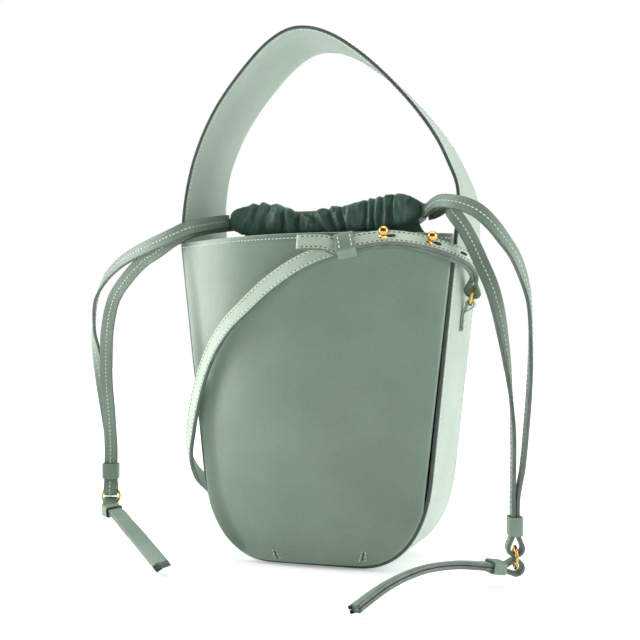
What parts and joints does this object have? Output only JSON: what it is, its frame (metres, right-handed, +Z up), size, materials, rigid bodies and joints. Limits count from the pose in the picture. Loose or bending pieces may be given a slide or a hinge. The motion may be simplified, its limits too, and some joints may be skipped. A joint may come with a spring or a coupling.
{
  "type": "bucket bag",
  "caption": "Leather bucket bag with a strip handle, a gathered drawstring pouch with ringed tassels, and a shoulder strap on side rings.",
  "frame": {"origin": "middle of the base's underside, under the middle of the bag", "axes": "+Z up, +X across the bag to its right as seen from the front, -Y towards the front"},
  "size_m": [0.3506, 0.2965, 0.3808],
  "materials": {
    "side_leather": "pale sage grained leather, edges painted dark",
    "body_leather": "sage green fine-grained leather, satin",
    "lining_leather": "smooth sage leather",
    "pouch_leather": "soft dark green leather with a slight sheen",
    "strap_leather": "sage green strap leather with painted edges",
    "gold_metal": "polished gold plating",
    "base_stiffener": "stiff board"
  },
  "bodies": {
    "bag": {"left_gusset": "side_leather", "right_gusset": "side_leather", "base_panel": "side_leather", "left_ring_tab": "side_leather", "right_ring_tab": "side_leather", "front_panel": "body_leather", "back_panel": "body_leather", "pouch_lower_front": "pouch_leather", "pouch_lower_rear": "pouch_leather", "pouch_upper_front": "pouch_leather", "pouch_upper_rear": "pouch_leather", "pouch_floor": "pouch_leather", "pouch_neck_front": "pouch_leather", "pouch_neck_rear": "pouch_leather", "pouch_collar_front": "pouch_leather", "pouch_collar_rear": "pouch_leather", "drawstring_channel_front": "strap_leather", "drawstring_channel_rear": "strap_leather", "drawstring_left_front": "strap_leather", "drawstring_left_rear": "strap_leather", "drawstring_right_front": "strap_leather", "drawstring_right_rear": "strap_leather", "left_drawstring_loop": "strap_leather", "right_drawstring_loop": "strap_leather", "right_strap_loop": "strap_leather", "left_strap_loop": "strap_leather", "shoulder_strap": "strap_leather", "strap_end": "strap_leather", "strap_left_tail": "strap_leather", "stud_1": "gold_metal", "stud_screw_1": "gold_metal", "stud_2": "gold_metal", "stud_screw_2": "gold_metal", "base_board": "base_stiffener"},
    "handle": {"handle_strap": "side_leather", "handle_lining": "lining_leather"},
    "right_strap_ring": {"right_strap_ring": "gold_metal"},
    "left_strap_ring": {"left_strap_ring": "gold_metal"},
    "left_tassel_ring": {"left_tassel_ring": "gold_metal"},
    "right_tassel_ring": {"right_tassel_ring": "gold_metal"},
    "left_tassel": {"left_tassel_strap": "strap_leather"},
    "right_tassel": {"right_tassel_strap": "strap_leather"},
    "left_tassel_keeper": {"left_tassel_keeper": "strap_leather"},
    "right_tassel_keeper": {"right_tassel_keeper": "strap_leather"},
    "left_drawstring_keeper": {"left_drawstring_keeper": "strap_leather"},
    "right_drawstring_keeper": {"right_drawstring_keeper": "strap_leather"},
    "strap_keeper": {"strap_keeper": "strap_leather"}
  },
  "joints": [
    {"name": "handle_lean", "type": "hinge", "parent": "bag", "child": "handle", "pos_m": [0, 0, 0.228], "axis": [1, 0, 0], "range_deg": [-10, 5]},
    {"name": "right_strap_ring_spin", "type": "hinge", "parent": "bag", "child": "right_strap_ring", "pos_m": [0.10549, 0, 0.18954], "axis": [-0.9511, 0, 0.309], "continuous": true},
    {"name": "left_strap_ring_spin", "type": "hinge", "parent": "bag", "child": "left_strap_ring", "pos_m": [-0.10573, 0, 0.17555], "axis": [0.9397, 0, -0.342], "continuous": true},
    {"name": "left_tassel_ring_swing", "type": "hinge", "parent": "bag", "child": "left_tassel_ring", "pos_m": [-0.1829, -0.003, 0.042], "axis": [-0.9432, -0.3321, 0], "range_deg": [0, 45]},
    {"name": "right_tassel_ring_swing", "type": "hinge", "parent": "bag", "child": "right_tassel_ring", "pos_m": [0.142, -0.0542, 0.026], "axis": [-0.3321, 0.9432, 0], "range_deg": [0, 30]},
    {"name": "left_tassel_lift", "type": "hinge", "parent": "left_tassel_ring", "child": "left_tassel", "pos_m": [-0.1829, -0.003, 0.028], "axis": [-0.9432, -0.3321, 0], "range_deg": [0, 40]},
    {"name": "right_tassel_lift", "type": "hinge", "parent": "right_tassel_ring", "child": "right_tassel", "pos_m": [0.142, -0.0542, 0.012], "axis": [-0.3321, 0.9432, 0], "range_deg": [0, 20]},
    {"name": "left_tassel_keeper_slide", "type": "slide", "parent": "left_tassel", "child": "left_tassel_keeper", "axis": [0.8088, -0.5866, -0.0411], "range_m": [0, 0.0025]},
    {"name": "right_tassel_keeper_slide", "type": "slide", "parent": "right_tassel", "child": "right_tassel_keeper", "axis": [-0.769, -0.6251, 0.1341], "range_m": [0, 0.0025]},
    {"name": "left_drawstring_keeper_slide", "type": "slide", "parent": "bag", "child": "left_drawstring_keeper", "axis": [0, 0, 1], "range_m": [0, 0.012]},
    {"name": "right_drawstring_keeper_slide", "type": "slide", "parent": "bag", "child": "right_drawstring_keeper", "axis": [0, 0, 1], "range_m": [0, 0.012]},
    {"name": "strap_keeper_slide", "type": "slide", "parent": "bag", "child": "strap_keeper", "axis": [0.9517, 0.2269, 0.2069], "range_m": [0, 0.004]}
  ]
}
